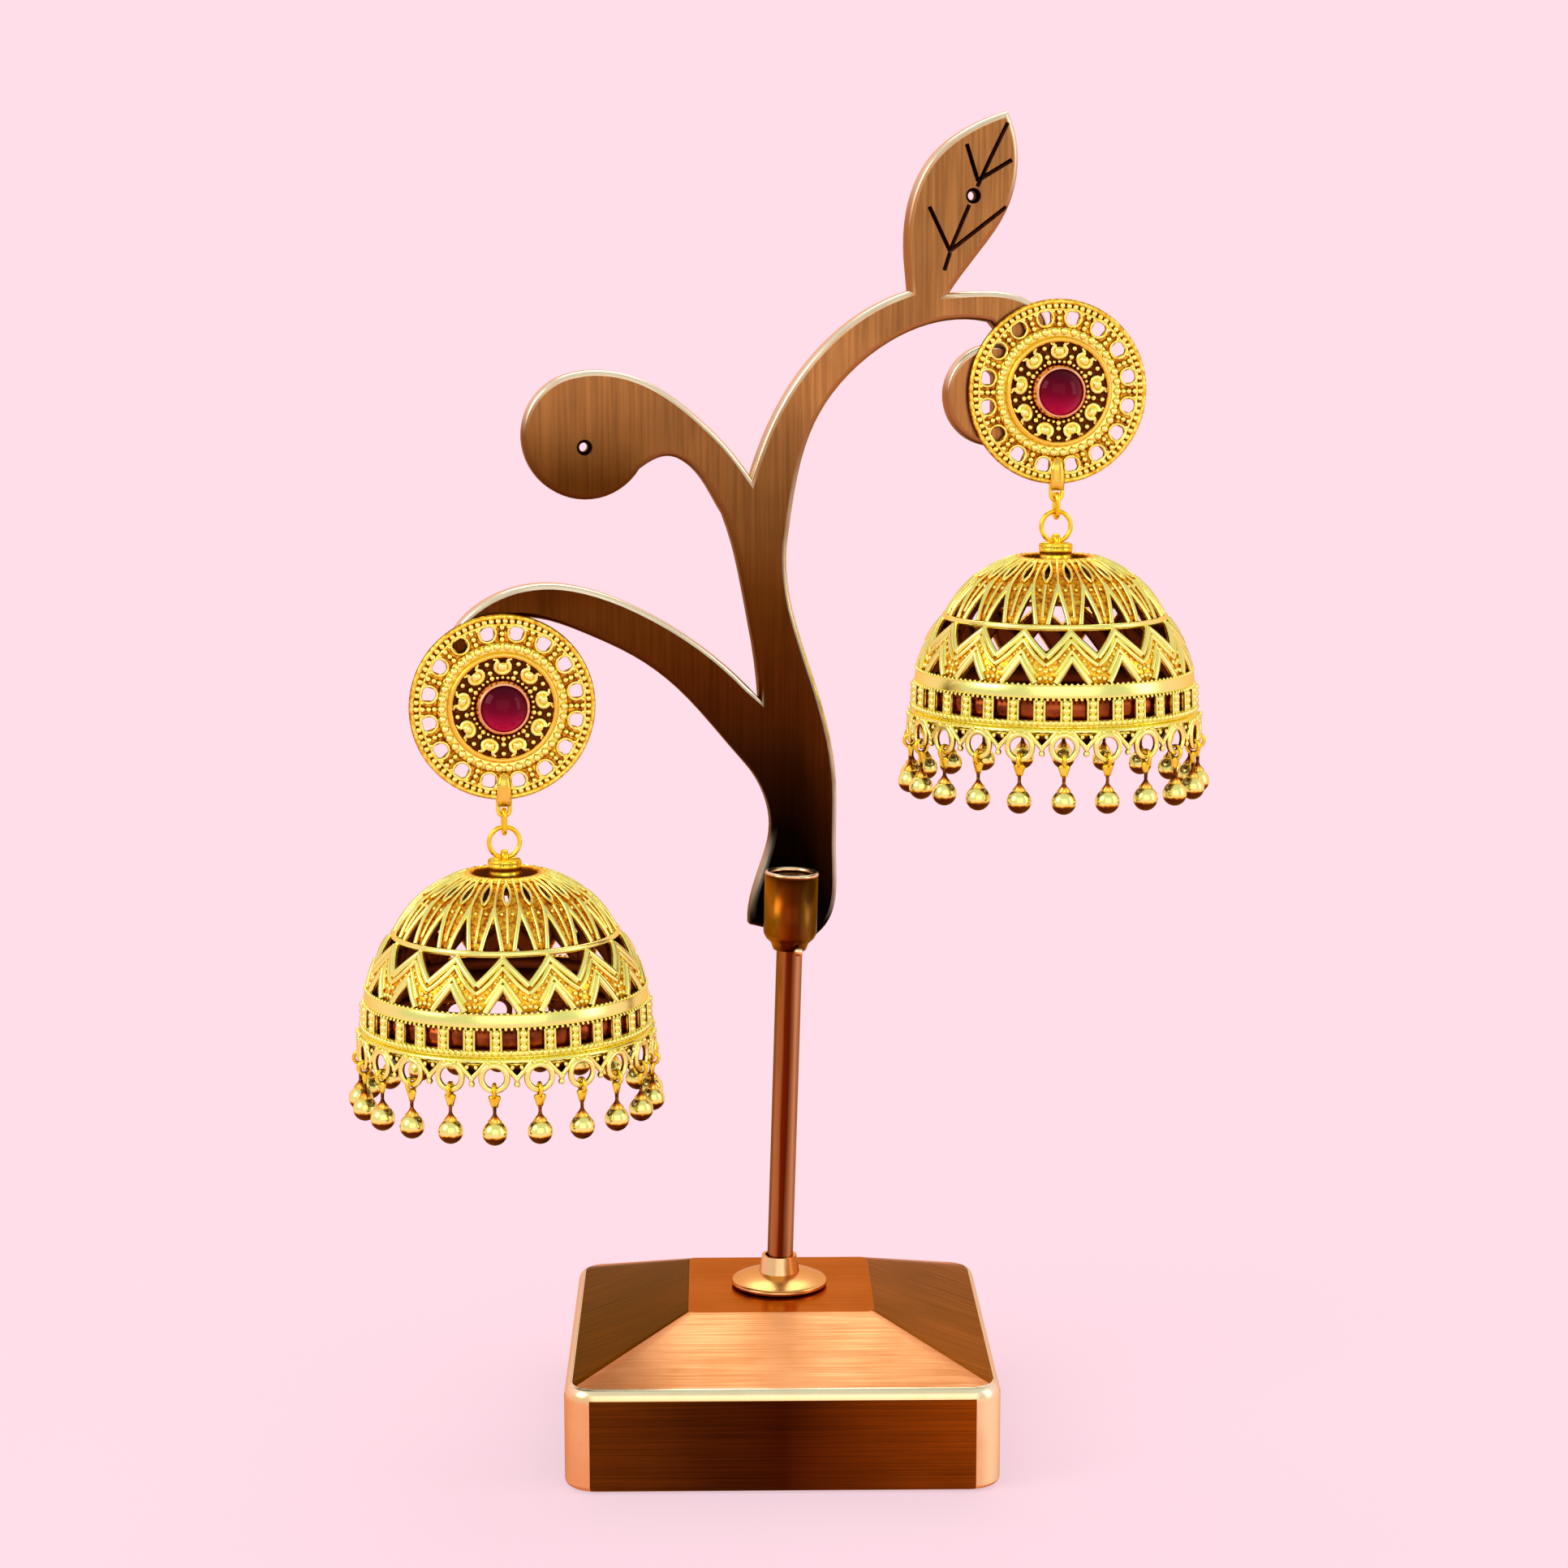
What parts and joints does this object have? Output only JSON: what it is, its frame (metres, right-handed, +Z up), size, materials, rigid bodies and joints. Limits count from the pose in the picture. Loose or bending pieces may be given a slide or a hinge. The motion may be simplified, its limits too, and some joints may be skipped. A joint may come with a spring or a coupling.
{
  "type": "pair of jhumka earrings on display stand",
  "caption": "Bell-shaped pierced gilt drop earrings with round studs, hanging from a copper tree stand on a square base.",
  "frame": {"origin": "centre of the base's underside, on the surface that the stand rests on", "axes": "+Z up, along the stand's height; -Y to the front, the side the base and the studs face; +X to the viewer's right"},
  "size_m": [0.0998, 0.05, 0.152],
  "materials": {
    "copper": "brushed antique copper plating, darker in the grain",
    "gold": "polished gilt with dark antique recesses",
    "ruby": "polished ruby-red cabochon glass"
  },
  "bodies": {
    "root": {"base": "copper", "post_flange": "copper", "post": "copper", "tree": "copper", "left_stud": "gold", "left_stone": "ruby", "right_stud": "gold", "right_stone": "ruby"},
    "left_link": {"left_link": "gold"},
    "left_drop": {"left_ring": "gold", "left_dome": "gold", "left_drops": "gold"},
    "right_link": {"right_link": "gold"},
    "right_drop": {"right_ring": "gold", "right_dome": "gold", "right_drops": "gold"}
  },
  "joints": [
    {"name": "left_link_sway", "type": "hinge", "parent": "root", "child": "left_link", "pos_m": [-0.03133, -0.0037, 0.07294], "axis": [0.9848, 0.1736, 0], "range_deg": [-30, 30]},
    {"name": "left_drop_swing", "type": "hinge", "parent": "left_link", "child": "left_drop", "pos_m": [-0.03133, -0.0037, 0.0699], "axis": [-0.1736, 0.9848, 0], "range_deg": [-20, 20]},
    {"name": "right_link_sway", "type": "hinge", "parent": "root", "child": "right_link", "pos_m": [0.03219, 0.0075, 0.10784], "axis": [0.9848, 0.1736, 0], "range_deg": [-30, 30]},
    {"name": "right_drop_swing", "type": "hinge", "parent": "right_link", "child": "right_drop", "pos_m": [0.03219, 0.0075, 0.1048], "axis": [-0.1736, 0.9848, 0], "range_deg": [-20, 16]}
  ]
}
